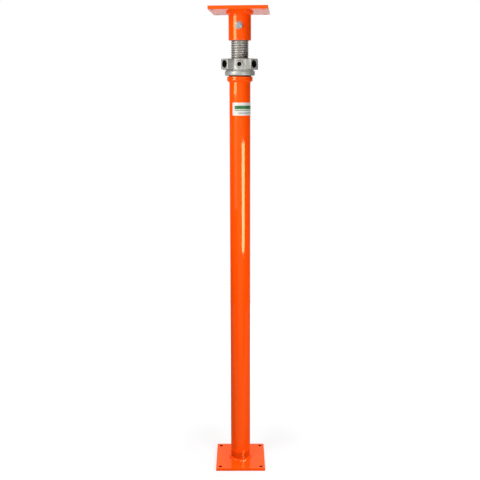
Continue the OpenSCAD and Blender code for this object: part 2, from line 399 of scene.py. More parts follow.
def store_painted_shade(mesh, how_shaded):
    """Stores the painted shade, from 0 to 1, that the given rule finds at each vertex of the
    mesh.
    """
    painted_shade = mesh.attributes.new("painted_shade", "FLOAT", "POINT")
    for vertex, value in zip(mesh.vertices, painted_shade.data):
        value.value = how_shaded(vertex.co)


PAINTED_SHADE = make_painted_shade()
print("effect:", PAINTED_SHADE.name)

# %% [markdown]
# Each material keeps its own Principled shader, and the effects only feed it masks. These
# helpers start a material, place an effect in it, mix two colours or two numbers by a
# mask, and turn a mask into small bumps.

# %% Material helpers
def new_finish(name, **sockets):
    """A material with a Principled shader whose plain sockets are set by name."""
    material = bpy.data.materials.new(name)
    material.use_nodes = True
    tree = material.node_tree
    tree.nodes.clear()
    output = tree.nodes.new("ShaderNodeOutputMaterial")
    surface = tree.nodes.new("ShaderNodeBsdfPrincipled")
    tree.links.new(surface.outputs[0], output.inputs["Surface"])
    for label, value in sockets.items():
        surface.inputs[label.replace("_", " ")].default_value = value
    return material, surface


def place_effect(material, group, output, **values):
    node = material.node_tree.nodes.new("ShaderNodeGroup")
    node.node_tree = group
    for label, value in values.items():
        node.inputs[label.replace("_", " ")].default_value = value
    return node.outputs[output]


def colour_mix(material, mask, amount, first, second):
    """first where the mask is 0, and amount of second where it is 1."""
    tree = material.node_tree
    mix = tree.nodes.new("ShaderNodeMix")
    mix.data_type = "RGBA"
    tree.links.new(maths(tree, "MULTIPLY", mask, amount, clamp=True), mix.inputs["Factor"])
    for socket, value in ((mix.inputs[6], first), (mix.inputs[7], second)):
        if isinstance(value, tuple):
            socket.default_value = (*value, 1)
        else:
            tree.links.new(value, socket)
    return mix.outputs[2]


def number_mix(material, mask, first, second):
    """Goes from first to second as the mask goes from 0 to 1."""
    return ramp(material.node_tree, mask, 0.0, 1.0, first, second)


def bumps(material, height, depth, before=None):
    """Bumps that stand depth metres high, on top of an earlier Bump node if one is given."""
    bump = material.node_tree.nodes.new("ShaderNodeBump")
    bump.inputs["Distance"].default_value = depth
    material.node_tree.links.new(height, bump.inputs["Height"])
    if before is not None:
        material.node_tree.links.new(before, bump.inputs["Normal"])
    return bump.outputs["Normal"]


def wire(material, output, surface, socket):
    material.node_tree.links.new(output, surface.inputs[socket])


print("effects to place:", [group.name for group in (GRAIN, EDGE_WEAR_AND_SHADE, DUST, PAINTED_SHADE)])

# %% [markdown]
# The tube, the plates, the welds and the socket are sprayed with one thick orange enamel.
# Real enamel has a faint orange peel, slow changes of colour where it lies thicker, and
# paler, thinner paint on sharp edges. Its gloss is sharp, and warmed a little by the
# pigment at the surface, so lamps show in it as peach rather than as white.

# %% Orange enamel
PAINT = (0.96, 0.078, 0.0012)
THICK_PAINT = (0.94, 0.072, 0.001)
THIN_PAINT = (0.98, 0.25, 0.06)
PALE_DUST = (0.8, 0.45, 0.25)
# The colour of painted shade on the enamel, in the holes and at the tube's foot.
SHADED_PAINT = (0.07, 0.008, 0.001)
PIGMENT_TINT = (1.0, 1.0, 0.48, 1.0)


def make_enamel():
    enamel, surface = new_finish("orange enamel", IOR=1.62, Specular_Tint=PIGMENT_TINT)
    slow = place_effect(enamel, GRAIN, "Mask", Scale=9.0, Detail=2.0)
    colour = colour_mix(enamel, slow, 1.0, PAINT, THICK_PAINT)
    dust = place_effect(enamel, DUST, "Mask", Patch_Scale=30.0)
    colour = colour_mix(enamel, dust, 0.02, colour, PALE_DUST)
    edge = place_effect(enamel, EDGE_WEAR_AND_SHADE, "Edges", Start=0.53, Full=0.62)
    colour = colour_mix(enamel, edge, 0.25, colour, THIN_PAINT)
    # Painted shade: the enamel turns dark where the stored shade mask is set.
    painted_shade = place_effect(enamel, PAINTED_SHADE, "Mask", Amount=0.9)
    colour = colour_mix(enamel, painted_shade, 1.0, colour, SHADED_PAINT)
    wire(enamel, colour, surface, "Base Color")
    fine = place_effect(enamel, GRAIN, "Mask", Scale=120.0, Detail=3.0)
    wire(enamel, number_mix(enamel, fine, 0.04, 0.07), surface, "Roughness")
    peel = place_effect(enamel, GRAIN, "Mask", Scale=420.0, Detail=1.0)
    wire(enamel, bumps(enamel, peel, 0.003 * MM), surface, "Normal")
    return enamel


ENAMEL = make_enamel()
print("made", ENAMEL.name)

# %% [markdown]
# The nut is a zinc-coated casting. Its skin is matte, with the fine pits of the sand
# mould, painted shade in its hollows and its holes, and brighter where tools have rubbed its
# edges. Dull zinc is half metal and half chalky oxide, so it is given a metallic value of a
# half.

# %% Cast zinc
CAST_SKIN = (0.36, 0.36, 0.33)
PALE_SKIN = (0.53, 0.53, 0.495)
RUBBED_SKIN = (0.66, 0.65, 0.63)
HOLLOW_SHADE = (0.15, 0.14, 0.12)
HOLE_SHADE = (0.012, 0.011, 0.01)


def make_casting():
    casting, surface = new_finish("zinc casting", Metallic=0.5)
    cloud = place_effect(casting, GRAIN, "Mask", Scale=70.0, Detail=5.0)
    colour = colour_mix(casting, cloud, 1.0, CAST_SKIN, PALE_SKIN)
    # Painted shade in the corners and creases.
    hollow = place_effect(casting, EDGE_WEAR_AND_SHADE, "Hollows")
    colour = colour_mix(casting, hollow, 0.85, colour, HOLLOW_SHADE)
    edge = place_effect(casting, EDGE_WEAR_AND_SHADE, "Edges", Start=0.51, Full=0.58)
    colour = colour_mix(casting, edge, 0.25, colour, RUBBED_SKIN)
    # Painted shade inside the holes.
    painted_shade = place_effect(casting, PAINTED_SHADE, "Mask", Amount=0.94)
    colour = colour_mix(casting, painted_shade, 1.0, colour, HOLE_SHADE)
    wire(casting, colour, surface, "Base Color")
    wire(casting, number_mix(casting, cloud, 0.5, 0.38), surface, "Roughness")
    pits = place_effect(casting, GRAIN, "Mask", Scale=900.0, Detail=3.0)
    lumps = place_effect(casting, GRAIN, "Mask", Scale=220.0, Detail=2.0)
    fine = bumps(casting, pits, 0.06 * MM)
    wire(casting, bumps(casting, lumps, 0.12 * MM, fine), surface, "Normal")
    return casting


CASTING = make_casting()
print("made", CASTING.name)

# %% [markdown]
# The bolt, its washers, the lock nut and the stop pin are bright zinc plate, a little blue
# and finely clouded. The thrust washer is dark steel, painted nearly black as the shadow in
# the gap under the nut. One recipe serves both: two colours and two roughnesses on one
# cloud, with a very fine bump.

# %% Plain metals
def make_plain_metal(name, dark, light, smooth, rough, bump, metallic=1.0):
    metal, surface = new_finish(name, Metallic=metallic)
    cloud = place_effect(metal, GRAIN, "Mask", Scale=300.0, Detail=4.0)
    wire(metal, colour_mix(metal, cloud, 1.0, dark, light), surface, "Base Color")
    wire(metal, number_mix(metal, cloud, rough, smooth), surface, "Roughness")
    fine = place_effect(metal, GRAIN, "Mask", Scale=1500.0, Detail=2.0)
    wire(metal, bumps(metal, fine, bump), surface, "Normal")
    return metal


ZINC = make_plain_metal("bright zinc", dark=(0.41, 0.445, 0.46), light=(0.55, 0.6, 0.62),
                        smooth=0.3, rough=0.45, bump=0.02 * MM, metallic=0.7)
# The washer's near-black colour is painted shade for the gap under the nut.
SHADED_WASHER_STEEL = make_plain_metal("washer steel in painted shade", dark=(0.008, 0.007, 0.006),
                              light=(0.03, 0.028, 0.025), smooth=0.3, rough=0.5,
                              bump=0.03 * MM)
print("made", ZINC.name, "and", SHADED_WASHER_STEEL.name)

# %% [markdown]
# Each finished piece is a mesh of its own that stands for a CAD node and rides on that
# node's body. One helper links the mesh, gives it its material, smooths it except at
# sharp edges, parents it to its body and hides the CAD node it stands for.

# %% Adding a piece
def size_of(node):
    low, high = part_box(node)
    return Vector(high) - Vector(low)


def low_z(node):
    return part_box(node)[0][2]


def high_z(node):
    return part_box(node)[1][2]


def mid_z(node):
    return (low_z(node) + high_z(node)) / 2


def add_piece(name, mesh, material, body, node, sharp=35.0):
    piece = linked(name.replace(" ", "_") + "_piece", mesh)
    mesh.materials.clear()
    mesh.materials.append(material)
    mesh.shade_smooth()
    mesh.set_sharp_from_angle(angle=math.radians(sharp))
    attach(piece, body)
    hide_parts(node)
    print(name, "faces:", len(mesh.polygons))
    return piece


print("post tube:", [round(side / MM, 1) for side in size_of("post_tube")], "mm")

# %% [markdown]
# Most of the prop is turned or drawn steel, so most pieces are an outline turned about the
# post's axis. An outline is a closed list of corners, each with its own rounding, because
# no real edge is perfectly sharp and it is the small rounds that catch the light.

# %% Turned pieces
def rounded_outline(corners, steps=5):
    """Points of a closed outline; each corner is (radius, height, rounding)."""
    points = []
    for i, (r, z, rounding) in enumerate(corners):
        here = Vector((r, z))
        before = Vector(corners[i - 1][:2]) - here
        after = Vector(corners[(i + 1) % len(corners)][:2]) - here
        if rounding <= 0:
            points.append(here)
            continue
        opening = before.angle(after)
        reach = min(rounding / math.tan(opening / 2), before.length / 2, after.length / 2)
        start = here + before.normalized() * reach
        end = here + after.normalized() * reach
        for k in range(steps + 1):
            t = k / steps
            points.append((1 - t) ** 2 * start + 2 * t * (1 - t) * here + t ** 2 * end)
    return points


def finish_mesh(name, build, transform=None):
    mesh = bpy.data.meshes.new(name)
    build.to_mesh(mesh)
    build.free()
    if transform is not None:
        mesh.transform(transform)
    return mesh


def joined(name, meshes):
    build = bmesh.new()
    for mesh in meshes:
        build.from_mesh(mesh)
    return finish_mesh(name, build)


def closed_ring(name, build, loops, transform=None):
    """Joins each closed loop of points to the next one, and the last to the first."""
    for k, here in enumerate(loops):
        there = loops[(k + 1) % len(loops)]
        for i in range(len(here)):
            j = (i + 1) % len(here)
            build.faces.new((here[i], there[i], there[j], here[j]))
    bmesh.ops.recalc_face_normals(build, faces=build.faces)
    return finish_mesh(name, build, transform)


def turned(name, corners, segments=160, transform=None):
    """A closed outline turned about Z."""
    outline = rounded_outline(corners)
    build = bmesh.new()
    loops = []
    for k in range(segments):
        a = 2 * math.pi * k / segments
        loops.append([build.verts.new((p.x * math.cos(a), p.x * math.sin(a), p.y))
                      for p in outline])
    return closed_ring(name, build, loops, transform)


def tube_outline(outer, inner, low, high, edge):
    return [(inner, low, edge), (outer, low, edge), (outer, high, edge), (inner, high, edge)]


print("a tube's outline has", len(rounded_outline(tube_outline(2.0, 1.0, 0.0, 3.0, 0.1))),
      "points")

# %% [markdown]
# The tube is one long turned outline. A smooth shader bends the normals between two rings
# of points, and on a tube this long that would bend its reflections too. So one ring near
# the top and one above the foot keep the long face truly straight. Painted shade darkens
# the foot next to the base plate, and a further ring marks where it begins to fade.

# %% Post tube
POST_R = size_of("post_tube").x / 2
POST_WALL = 3.05 * MM
POST_EDGE = 0.6 * MM
FOOT_SHADE = 24 * MM
FOOT_FADE = 30 * MM
FOOT_SHADE_SHARE = 0.4
STRAIGHT_FROM = 8 * MM
p_low, p_high = low_z("post_tube"), high_z("post_tube")
post_corners = tube_outline(POST_R, POST_R - POST_WALL, p_low, p_high, POST_EDGE)
post_corners[2:2] = [(POST_R, p_low + FOOT_SHADE, 0), (POST_R, p_low + FOOT_FADE, 0),
                     (POST_R, p_high - STRAIGHT_FROM, 0)]
post_mesh = turned("post tube", post_corners)


# Painted shade on the tube's foot, next to the base plate.
def foot_shade(place):
    return FOOT_SHADE_SHARE if place.z < p_low + FOOT_SHADE + POST_EDGE else 0.0


store_painted_shade(post_mesh, foot_shade)
add_piece("post tube", post_mesh, ENAMEL, "post", "post_tube")

# %% [markdown]
# The collar is a turned ring with a well-rounded shoulder and a faint turned line round
# its middle. The thrust washer above it is a flat ring of dark steel, painted nearly black
# as the shadow in the gap under the nut.

# %% Collar and washer
COLLAR_R = size_of("bearing_collar").x / 2
COLLAR_SHOULDER = 4.6 * MM
COLLAR_LINE = 0.45 * MM
LINE_HALF = 1.6 * COLLAR_LINE
LINE_ROUND = 0.3 * MM
COLLAR_FOOT_ROUND = 0.8 * MM
SEAT = 0.05 * MM
c_low, c_high = low_z("bearing_collar"), high_z("bearing_collar")
c_mid = mid_z("bearing_collar")
collar_corners = [
    (POST_R + SEAT, c_low, 0), (COLLAR_R, c_low, COLLAR_FOOT_ROUND),
    (COLLAR_R, c_mid - LINE_HALF, LINE_ROUND), (COLLAR_R - COLLAR_LINE, c_mid, LINE_ROUND),
    (COLLAR_R, c_mid + LINE_HALF, LINE_ROUND), (COLLAR_R, c_high, COLLAR_SHOULDER),
    (POST_R + SEAT, c_high, 0)]
add_piece("bearing collar", turned("bearing collar", collar_corners),
          ENAMEL, "post", "bearing_collar")

SCREW_R = size_of("screw").x / 2
WASHER_ROOM = 0.5 * MM
WASHER_EDGE = 0.4 * MM
washer_corners = tube_outline(size_of("thrust_washer").x / 2, SCREW_R + WASHER_ROOM,
                              low_z("thrust_washer"), high_z("thrust_washer"), WASHER_EDGE)
add_piece("thrust washer", turned("thrust washer", washer_corners),
          SHADED_WASHER_STEEL, "post", "thrust_washer")

# %% [markdown]
# The plates are cut from flat bar and drilled. A filled 2D curve is the easy way to a
# plate with holes: its bevel rounds the outer edge and the holes alike, as thick paint
# does. Its loops are a square with rounded corners and four circles.

# %% Plate outlines
def circle_points(x, y, r, count=40):
    return [(x + r * math.cos(2 * math.pi * i / count), y + r * math.sin(2 * math.pi * i / count))
            for i in range(count)]


def rounded_square_points(side, r, count=6):
    points = []
    for quarter in range(4):
        middle = math.pi / 4 + quarter * math.pi / 2
        cx = math.copysign(side / 2 - r, math.cos(middle))
        cy = math.copysign(side / 2 - r, math.sin(middle))
        for i in range(count + 1):
            a = quarter * math.pi / 2 + math.pi / 2 * i / count
            points.append((cx + r * math.cos(a), cy + r * math.sin(a)))
    return points


print("points:", len(rounded_square_points(2.0, 0.1)), "round the square and",
      len(circle_points(0.0, 0.0, 1.0)), "round each hole")

# %% [markdown]
# The curve is turned into a mesh at once, so that it can be finished as one. A narrow rim
# is inset on both faces, which keeps the wear at the edges, and the walls of the holes are
# marked for painted shade. The head plate is turned a little against the base plate, as
# nothing on the prop lines the two up.

# %% Plates
PLATE_EDGE = 0.5 * MM
PLATE_RIM = 1.5 * MM
PLATE_CORNER = 2.5 * MM
HOLE_R = 4.765 * MM
HOLE_INSET = 12.7 * MM
HEAD_TURN = math.radians(-4.3)
HEAD_SIDE = 161.9 * MM


def applied(*items):
    """The mesh of the first object with its modifiers applied; all the objects then go."""
    bpy.context.view_layer.update()
    mesh = bpy.data.meshes.new_from_object(items[0].evaluated_get(
        bpy.context.evaluated_depsgraph_get()))
    for item in items:
        bpy.data.objects.remove(item)
    return mesh


def plate(name, side, thickness, low, turn):
    curve = bpy.data.curves.new(name, "CURVE")
    curve.dimensions = "2D"
    curve.fill_mode = "BOTH"
    curve.extrude = thickness / 2 - PLATE_EDGE
    curve.bevel_depth = PLATE_EDGE
    curve.bevel_resolution = 2
    curve.offset = -PLATE_EDGE
    inset = side / 2 - HOLE_INSET
    loops = [rounded_square_points(side, PLATE_CORNER)]
    loops += [circle_points(x, y, HOLE_R) for x in (-inset, inset) for y in (-inset, inset)]
    for loop in loops:
        spline = curve.splines.new("POLY")
        spline.points.add(len(loop) - 1)
        spline.use_cyclic_u = True
        for point, (x, y) in zip(spline.points, loop):
            point.co = (x, y, 0, 1)
    mesh = applied(linked(name, curve))
    build = bmesh.new()
    build.from_mesh(mesh)
    bmesh.ops.remove_doubles(build, verts=build.verts, dist=0.01 * MM)
    flats = [face for face in build.faces if abs(face.normal.z) > 0.99]
    bmesh.ops.inset_region(build, faces=flats, thickness=PLATE_RIM, use_even_offset=True)
    build.to_mesh(mesh)
    build.free()

    # Painted shade on the walls of the holes.
    def in_hole(place):
        away = math.hypot(abs(place.x) - inset, abs(place.y) - inset)
        return (away < HOLE_R + 0.6 * PLATE_EDGE
                and abs(place.z) < thickness / 2 - 0.1 * PLATE_EDGE)

    store_painted_shade(mesh, in_hole)
    mesh.transform(Matrix.Translation((0, 0, low + thickness / 2))
                   @ Matrix.Rotation(turn, 4, "Z"))
    return mesh


base_size = size_of("base_plate")
base_mesh = plate("base plate", base_size.x, base_size.z, low_z("base_plate"), 0.0)
add_piece("base plate", base_mesh, ENAMEL, "post", "base_plate")
head_mesh = plate("head plate", HEAD_SIDE, size_of("head_plate").z, low_z("head_plate"),
                  HEAD_TURN)
add_piece("head plate", head_mesh, ENAMEL, "head", "head_plate")

# %% [markdown]
# A weld bead is a row of overlapping puddles, so its face swells and sinks every few
# millimetres and wanders a little. The bead is a fillet outline carried round the tube,
# whose fullness and reach change with the angle by a periodic noise. Its legs are a little
# shorter than the weld's box, which the swells then fill.

# %% Weld beads
SLOW_SWELLS = 2.6
QUICK_SWELLS = 9.0
PUDDLE_DRIFT = 0.35
FULLNESS = 0.16
FULL_OUTWARD = 0.7


def bead(name, tube_r, leg, level, up, ripple, wander, pitch, seed):
    """A fillet bead round a tube; up is 1 when the plate is below it and -1 when above."""
    arc_steps = 9
    rings = 420
    puddles = round(2 * math.pi * tube_r / pitch)
    build = bmesh.new()
    loops = []
    for k in range(rings):
        a = 2 * math.pi * k / rings
        way = Vector((math.cos(a), math.sin(a), 0))
        slow = noise.noise(way * SLOW_SWELLS + Vector((seed, 0, 0)))
        quick = noise.noise(way * QUICK_SWELLS + Vector((0, seed, 0)))
        phase = (k / rings * puddles + PUDDLE_DRIFT * slow) % 1.0
        swell = ripple * (1 - (2 * phase - 1) ** 2 - 0.5)
        reach = leg * (1 + wander * slow + 0.5 * wander * quick)
        climb = leg * (1 + 0.7 * wander * quick)
        loop = [build.verts.new(way * (tube_r + SEAT) + Vector((0, 0, level)))]
        for i in range(arc_steps + 1):
            t = i / arc_steps
            out = reach * (1 - t)
            high = climb * t
            full = FULL_OUTWARD * math.sin(math.pi * t) * (FULLNESS * leg + swell)
            loop.append(build.verts.new(way * (tube_r + SEAT + out + full)
                                        + Vector((0, 0, level + up * (high + full)))))
        loops.append(loop)
    return closed_ring(name, build, loops)


BASE_LEG = 0.86 * size_of("base_weld").z
COLLAR_LEG = 0.8 * size_of("collar_weld").z
HEAD_LEG = 0.86 * size_of("head_weld").z
SOCKET_R = size_of("head_socket").x / 2
base_bead = bead("base weld", POST_R, BASE_LEG, low_z("base_weld"), up=1,
                 ripple=0.55 * MM, wander=0.12, pitch=5.5 * MM, seed=3.1)
add_piece("base weld", base_bead, ENAMEL, "post", "base_weld", sharp=70)
collar_bead = bead("collar weld", POST_R, COLLAR_LEG, high_z("collar_weld"), up=-1,
                   ripple=0.5 * MM, wander=0.22, pitch=6.0 * MM, seed=7.7)
add_piece("collar weld", collar_bead, ENAMEL, "post", "collar_weld", sharp=70)
head_bead = bead("head weld", SOCKET_R, HEAD_LEG, high_z("head_weld"), up=-1,
                 ripple=0.6 * MM, wander=0.1, pitch=6.0 * MM, seed=5.3)
add_piece("head weld", head_bead, ENAMEL, "head", "head_weld", sharp=70)

# %% [markdown]
# The socket is a short piece of thick tube, drilled across for the bolt. The holes are cut
# with a Boolean, since the bolt's washers cover their edges.

# %% Head socket
def cut(mesh, cutters, name):
    """Takes each cutter mesh away from mesh, one after the other."""
    work = linked(name, mesh)
    tools = [linked(f"{name} cutter {i}", cutter) for i, cutter in enumerate(cutters)]
    for tool in tools:
        step = work.modifiers.new("cut", "BOOLEAN")
        step.operation = "DIFFERENCE"
        step.solver = "EXACT"
        step.object = tool
    return applied(work, *tools)


def rod(name, r, length, transform, segments=64):
    """A plain closed cylinder from 0 to length along Z, used as a cutter."""
    build = bmesh.new()
    bmesh.ops.create_cone(build, cap_ends=True, segments=segments, radius1=r, radius2=r,
                          depth=length, matrix=Matrix.Translation((0, 0, length / 2)))
    return finish_mesh(name, build, transform)


BOLT_Z = mid_z("cross_bolt")
BOLT_HOLE_R = 5.15 * MM
BOLT_FRAME = (Matrix.Rotation(HEAD_TURN, 4, "Z") @ Matrix.Translation((0, 0, BOLT_Z))
              @ Matrix.Rotation(math.radians(90), 4, "X"))
SOCKET_WALL = 5.85 * MM
SOCKET_EDGE = 0.7 * MM
socket_body = turned("head socket", tube_outline(
    SOCKET_R, SOCKET_R - SOCKET_WALL, low_z("head_socket"), high_z("head_socket"), SOCKET_EDGE))
bolt_hole = rod("bolt hole", BOLT_HOLE_R, 4 * SOCKET_R,
                BOLT_FRAME @ Matrix.Translation((0, 0, -2 * SOCKET_R)))
add_piece("head socket", cut(socket_body, [bolt_hole], "socket"),
          ENAMEL, "head", "head_socket")

# %% [markdown]
# The screw is plated steel. The nut polishes the crests of its thread, and the valleys are
# painted darker. Both follow the distance from the post's axis, which tells a crest from a
# valley anywhere on the thread.

# %% Screw steel
THREAD_DEPTH = 2.4 * MM
STEEL = (0.57, 0.565, 0.525)
PALE_STEEL = (0.65, 0.645, 0.605)
VALLEY_STEEL = (0.17, 0.16, 0.135)


def radius_mask(material, low, high):
    """0 at distance low from the post's axis and 1 at distance high."""
    tree = material.node_tree
    flat = tree.nodes.new("ShaderNodeVectorMath")
    flat.operation = "MULTIPLY"
    flat.inputs[1].default_value = (1, 1, 0)
    tree.links.new(coordinates(tree, "Object"), flat.inputs[0])
    distance = tree.nodes.new("ShaderNodeVectorMath")
    distance.operation = "LENGTH"
    tree.links.new(flat.outputs["Vector"], distance.inputs[0])
    return ramp(tree, distance.outputs["Value"], low, high)


def make_screw_steel(root, crest):
    steel, surface = new_finish("screw steel", Metallic=0.62)
    height = radius_mask(steel, root, crest)
    cloud = place_effect(steel, GRAIN, "Mask", Scale=60.0, Detail=5.0)
    colour = colour_mix(steel, cloud, 1.0, STEEL, PALE_STEEL)
    # The thread's valleys are painted darker.
    valley = number_mix(steel, height, 1.0, 0.0)
    colour = colour_mix(steel, valley, 0.85, colour, VALLEY_STEEL)
    wire(steel, colour, surface, "Base Color")
    wire(steel, number_mix(steel, height, 0.5, 0.3), surface, "Roughness")
    scratches = place_effect(steel, GRAIN, "Mask", Scale=700.0, Detail=2.0)
    wire(steel, bumps(steel, scratches, 0.01 * MM), surface, "Normal")
    return steel


SCREW_STEEL = make_screw_steel(SCREW_R - THREAD_DEPTH, SCREW_R)
print("made", SCREW_STEEL.name)

# %% [markdown]
# The screw's thread is one continuous right-hand helix. Each ring of points round the screw
# is the same outline, shifted up by one pitch per turn, so the outline is worked out once
# as a height-to-radius rule and the mesh is a grid over angle and height along the thread.

# %% Screw
PITCH = 6.35 * MM
SCREW_BORE_R = 18.0 * MM
CREST_SHARE = 0.2
FLOOR_SHARE = 0.36


def thread_radius(phase, crest_r, depth):
    """Radius at a phase from 0 to 1 along the pitch, with the floor centred on 0."""
    away = abs(((phase + 0.5) % 1.0) - 0.5)
    low = FLOOR_SHARE / 2
    high = 0.5 - CREST_SHARE / 2
    t = min(max((away - low) / (high - low), 0.0), 1.0)
    return crest_r - depth + depth * (t * t * (3 - 2 * t))


def threaded_rod(name, crest_r, bore_r, depth, pitch, low, high, segments, rows_per_turn,
                 chamfer, transform=None):
    """A helical thread between two heights, with chamfered ends and an optional bore."""
    rows = round((high - low) / pitch * rows_per_turn)
    build = bmesh.new()
    grid = []
    for i in range(rows + 1):
        z = low + (high - low) * i / rows
        end_gap = min(z - low, high - z)
        limit = crest_r - max(0.0, chamfer - end_gap)
        row = []
        for k in range(segments):
            a = 2 * math.pi * k / segments
            phase = (z - low) / pitch - k / segments
            r = min(thread_radius(phase, crest_r, depth), limit)
            row.append(build.verts.new((r * math.cos(a), r * math.sin(a), z)))
        grid.append(row)
    for lower, upper in zip(grid, grid[1:]):
        for k in range(segments):
            j = (k + 1) % segments
            build.faces.new((lower[k], lower[j], upper[j], upper[k]))
    if bore_r > 0:
        inner = [[build.verts.new((bore_r * math.cos(2 * math.pi * k / segments),
                                   bore_r * math.sin(2 * math.pi * k / segments), z))
                  for k in range(segments)] for z in (low, high)]
        for k in range(segments):
            j = (k + 1) % segments
            build.faces.new((inner[0][j], inner[0][k], inner[1][k], inner[1][j]))
            build.faces.new((grid[0][j], grid[0][k], inner[0][k], inner[0][j]))
            build.faces.new((grid[-1][k], grid[-1][j], inner[1][j], inner[1][k]))
    else:
        build.faces.new(list(reversed(grid[0])))
        build.faces.new(grid[-1])
    bmesh.ops.recalc_face_normals(build, faces=build.faces)
    return finish_mesh(name, build, transform)


screw_mesh = threaded_rod("screw", SCREW_R, SCREW_BORE_R, THREAD_DEPTH, PITCH,
                          low_z("screw"), high_z("screw"),
                          segments=96, rows_per_turn=14, chamfer=1.5 * MM)
add_piece("screw", screw_mesh, SCREW_STEEL, "head", "screw", sharp=60)

# %% [markdown]
# The nut is the prop's one casting, so nothing on it is sharp. It starts as plain closed
# shapes that overlap: a turned body, four lugs for the turning bar at the diagonals, and
# four round pads between them. They needn't fit together exactly, since the next steps
# fuse them.

# %% Nut shapes
NUT_H = size_of("adjusting_nut").z
SKIRT_R = 42.58 * MM
SKIRT_H = 15.5 * MM
HUB_R = 38.48 * MM
LUG_REACH = 58.98 * MM
LUG_W = 28.0 * MM
LUG_H = 28.8 * MM
SKIRT_ROUND = 3.0 * MM
HUB_ROUND = 2.0 * MM
LUG_EDGE = 2.2 * MM
LUG_TAPER = 0.4 * MM
LUG_ROOT = 26.0 * MM
LUG_BELOW_TOP = 1.0 * MM
LUG_Z = NUT_H - LUG_BELOW_TOP - LUG_H / 2
PAD_REACH = 41.0 * MM
PAD_R = 10.0 * MM
ON_AXIS = 0.001 * MM


def beam(name, half_w, half_h, start, end, z, edge, taper, turn):
    """A block along a radius, with rounded long edges; taper is how much the root widens."""
    arc_steps = 5
    build = bmesh.new()
    rings = []
    for x, grow in ((start, taper), (end, 0.0)):
        ring = []
        for quarter in range(4):
            middle = math.pi / 4 + quarter * math.pi / 2
            cy = math.copysign(half_w + grow - edge, math.cos(middle))
            cz = math.copysign(half_h + grow - edge, math.sin(middle))
            for i in range(arc_steps + 1):
                a = quarter * math.pi / 2 + math.pi / 2 * i / arc_steps
                ring.append(build.verts.new((x, cy + edge * math.cos(a),
                                             z + cz + edge * math.sin(a))))
        rings.append(ring)
    count = len(rings[0])
    for i in range(count):
        j = (i + 1) % count
        build.faces.new((rings[0][i], rings[0][j], rings[1][j], rings[1][i]))
    build.faces.new(list(reversed(rings[0])))
    build.faces.new(rings[1])
    bmesh.ops.recalc_face_normals(build, faces=build.faces)
    return finish_mesh(name, build, Matrix.Rotation(turn, 4, "Z"))


def along_radius(start, degrees):
    """Lays a shape that stands along Z along the radius at an angle, at the lugs' height."""
    return (Matrix.Rotation(math.radians(degrees), 4, "Z")
            @ Matrix.Translation((start, 0, LUG_Z)) @ Matrix.Rotation(math.radians(90), 4, "Y"))


def nut_body_shapes():
    shoulder = SKIRT_H - SKIRT_R + HUB_R
    core = [(ON_AXIS, 0, 0), (SKIRT_R, 0, SKIRT_ROUND), (SKIRT_R, shoulder, HUB_ROUND),
            (HUB_R, SKIRT_H, HUB_ROUND), (HUB_R, NUT_H, HUB_ROUND), (ON_AXIS, NUT_H, 0)]
    shapes = [turned("nut core", core, 128)]
    for degrees in (0, 90, 180, 270):
        shapes.append(beam("lug", LUG_W / 2, LUG_H / 2, LUG_ROOT, LUG_REACH, LUG_Z, LUG_EDGE,
                           LUG_TAPER, math.radians(45 + degrees)))
        shapes.append(rod("pad", PAD_R, PAD_REACH - LUG_ROOT, along_radius(LUG_ROOT, degrees)))
    return shapes


body_shapes = nut_body_shapes()
print("plain shapes in the nut:", len(body_shapes))

# %% [markdown]
# Each lug has a blind hole for the turning bar, and each pad a small hole that a core left
# in the mould. Their walls get painted shade that darkens with depth, and a thin wall of
# the casting, dark with the same painted shade, closes the inner end of each small hole.

# %% Nut holes
BAR_HOLE_R = 10.3 * MM
BAR_HOLE_DEPTH = 28.0 * MM
CORE_HOLE_R = 6.0 * MM
CORE_HOLE_LENGTH = 30.0 * MM
PAST_THE_FACE = 5.0 * MM
CORE_HOLE_FLOOR = 2.0 * MM
SHADE_DEPTH = 3.0 * MM
HOLE_RIM = 0.5 * MM
NUT_BORE_R = SCREW_R + 0.08 * MM


def hole_cutters():
    cutters = []
    for degrees in (0, 90, 180, 270):
        cutters.append(rod("bar hole", BAR_HOLE_R, BAR_HOLE_DEPTH + PAST_THE_FACE,
                           along_radius(LUG_REACH - BAR_HOLE_DEPTH, 45 + degrees)))
        cutters.append(rod("core hole", CORE_HOLE_R, CORE_HOLE_LENGTH,
                           along_radius(NUT_BORE_R + CORE_HOLE_FLOOR, degrees)))
    return cutters


def nut_hole_shade(place):
    """Painted shade: 0 outside the holes, and up to 1 on their walls, a set depth from the mouth.
    """
    quarter = math.radians(90)
    shade_here = 0.0
    for turn, r, mouth in ((45, BAR_HOLE_R, LUG_REACH), (0, CORE_HOLE_R, PAD_REACH)):
        a = math.atan2(place.y, place.x) - math.radians(turn)
        a -= round(a / quarter) * quarter
        out = math.hypot(place.x, place.y)
        aside = math.hypot(out * math.sin(a), place.z - LUG_Z)
        depth = mouth - out * math.cos(a)
        if aside < r + HOLE_RIM and depth > 0:
            shade_here = max(shade_here, min(1.0, depth / SHADE_DEPTH))
    return shade_here


holes = hole_cutters()
print("holes in the nut:", len(holes))

# %% [markdown]
# Voxel remeshing fuses the shapes into one skin, and smoothing melts the corners into
# fillets, as sand and molten metal do. The holes are cut and melted in the same way. The
# machined bore is cut last, so that it stays true.

# %% Cast nut
NUT_TURN = math.radians(-2.3)
NUT_VOXEL = 0.8 * MM
BODY_MELT = 7
HOLE_MELT = 3


def fuse(name, shapes, voxel, rounds):
    """One smooth skin round all the shapes; rounds says how far the corners melt."""
    work = linked(name, joined(name, shapes))
    remesh = work.modifiers.new("fuse", "REMESH")
    remesh.mode = "VOXEL"
    remesh.voxel_size = voxel
    remesh.use_smooth_shade = True
    melt = work.modifiers.new("melt", "SMOOTH")
    melt.factor = 0.5
    melt.iterations = rounds
    return applied(work)


